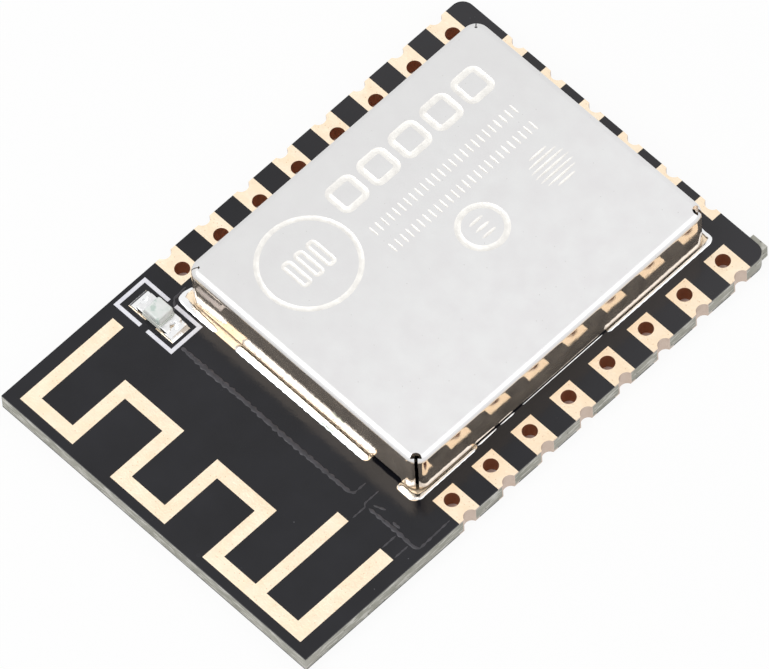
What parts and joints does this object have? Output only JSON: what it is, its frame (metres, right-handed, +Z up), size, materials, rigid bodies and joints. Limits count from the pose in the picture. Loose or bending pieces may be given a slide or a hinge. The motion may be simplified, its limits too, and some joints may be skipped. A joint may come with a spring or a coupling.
{
  "type": "wifi module",
  "caption": "Castellated radio module: black board with a printed meander antenna, a status LED and a folded shield can over its circuit.",
  "frame": {"origin": "under the middle of the whole outline, tab stub included, on the board's underside", "axes": "+Z up through the board towards the can's roof, +Y along the board towards the antenna end, +X across the board towards the LED side"},
  "size_m": [0.0158, 0.024, 0.003],
  "materials": {
    "glass_epoxy": "matte",
    "solder_mask": "gloss",
    "copper": "satin",
    "gold_plating": "satin",
    "tin_plate": "satin",
    "solder": "polished",
    "legend_ink": "matte",
    "led_base": "matte",
    "led_resin": "gloss",
    "terminal_metal": "satin",
    "moulding": "matte",
    "crystal_ceramic": "matte",
    "lid_metal": "satin",
    "capacitor_ceramic": "matte",
    "resistor_film": "satin",
    "inductor_ceramic": "satin"
  },
  "bodies": {
    "root": {"substrate": "glass_epoxy", "solder_mask_top": "solder_mask", "solder_mask_bottom": "solder_mask", "ground_pour_top": "copper", "ground_plane_bottom": "copper", "antenna": "gold_plating", "feed_line": "copper", "pad_01": "gold_plating", "pad_02": "gold_plating", "pad_03": "gold_plating", "pad_04": "gold_plating", "pad_05": "gold_plating", "pad_06": "gold_plating", "pad_07": "gold_plating", "pad_08": "gold_plating", "pad_09": "gold_plating", "pad_10": "gold_plating", "pad_11": "gold_plating", "pad_12": "gold_plating", "pad_13": "gold_plating", "pad_14": "gold_plating", "pad_15": "gold_plating", "pad_16": "gold_plating", "pad_17": "gold_plating", "pad_18": "gold_plating", "pad_19": "gold_plating", "pad_20": "gold_plating", "pad_21": "gold_plating", "pad_22": "gold_plating", "shield_can": "tin_plate", "shield_lands": "gold_plating", "shield_solder": "solder", "legend": "legend_ink", "led_base": "led_base", "led_lens": "led_resin", "led_terminals": "terminal_metal", "led_lands": "gold_plating", "led_solder": "solder", "mcu_body": "moulding", "mcu_terminals": "terminal_metal", "flash_body": "moulding", "flash_leads": "terminal_metal", "crystal_base": "crystal_ceramic", "crystal_lid": "lid_metal", "capacitor_bodies": "capacitor_ceramic", "capacitor_ends": "terminal_metal", "resistor_bodies": "resistor_film", "resistor_ends": "terminal_metal", "inductor_bodies": "inductor_ceramic", "inductor_ends": "terminal_metal", "component_lands": "gold_plating"}
  },
  "joints": []
}
